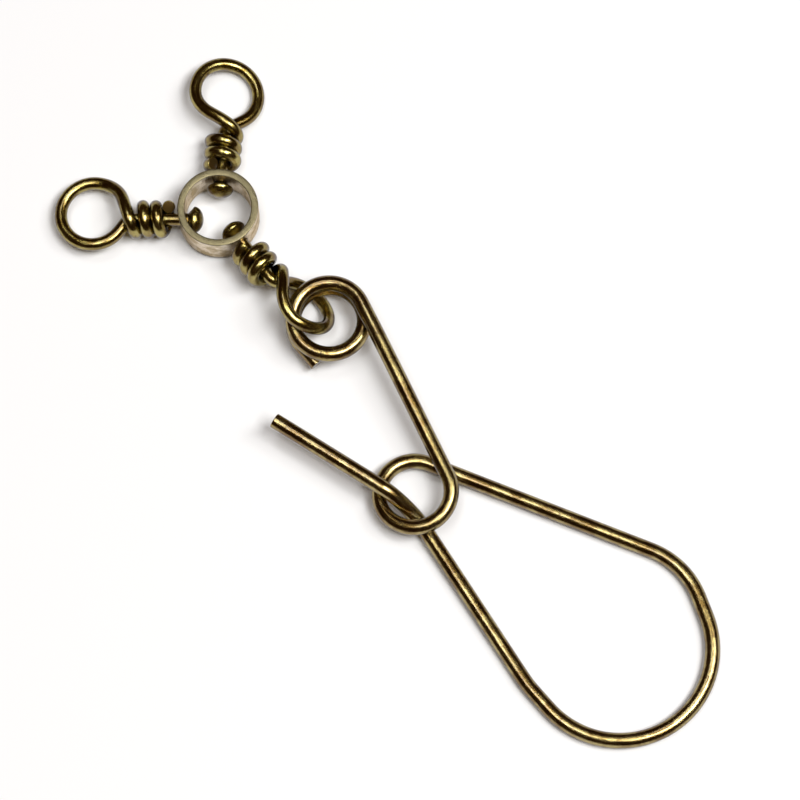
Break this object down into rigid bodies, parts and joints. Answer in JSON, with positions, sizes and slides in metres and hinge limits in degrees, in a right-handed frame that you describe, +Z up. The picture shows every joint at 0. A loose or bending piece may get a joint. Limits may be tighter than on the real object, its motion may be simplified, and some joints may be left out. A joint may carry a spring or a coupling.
{
  "type": "three-way swivel",
  "caption": "Short brass tube with wire eyes that spin in holes through its wall, one of them carrying a bent wire snap with a coil, a keeper ring and a pear-shaped loop.",
  "frame": {"origin": "middle of the box round the swivel as it lies, at ground level", "axes": "+X from the collar towards the far end of the snap, +Z up from the ground it lies on"},
  "size_m": [0.097, 0.0352, 0.0072],
  "materials": {
    "collar_brass": "dull, lightly sawn",
    "eye_wire": "drawn, bright, lightly tarnished",
    "snap_wire": "drawn, bright, lightly tarnished"
  },
  "bodies": {
    "collar": {"collar": "collar_brass"},
    "snap_eye": {"snap_eye": "eye_wire"},
    "leader_eye": {"leader_eye": "eye_wire"},
    "line_eye": {"line_eye": "eye_wire"},
    "snap": {"snap": "snap_wire"}
  },
  "joints": [
    {"name": "snap_eye_spin", "type": "hinge", "parent": "collar", "child": "snap_eye", "pos_m": [-0.03211, -0.00123, 0.00315], "axis": [0.9941, 0, 0.1085], "continuous": true},
    {"name": "leader_eye_spin", "type": "hinge", "parent": "collar", "child": "leader_eye", "pos_m": [-0.03211, -0.00123, 0.00315], "axis": [-0.7726, 0.6293, -0.0843], "continuous": true},
    {"name": "line_eye_spin", "type": "hinge", "parent": "collar", "child": "line_eye", "pos_m": [-0.03141, -0.00179, 0.00323], "axis": [-0.6202, -0.7815, -0.0677], "continuous": true},
    {"name": "snap_swing", "type": "hinge", "parent": "snap_eye", "child": "snap", "pos_m": [-0.01699, -0.00003, 0.00346], "axis": [-0.0726, 0.7431, 0.6652], "range_deg": [-70, 70]}
  ]
}
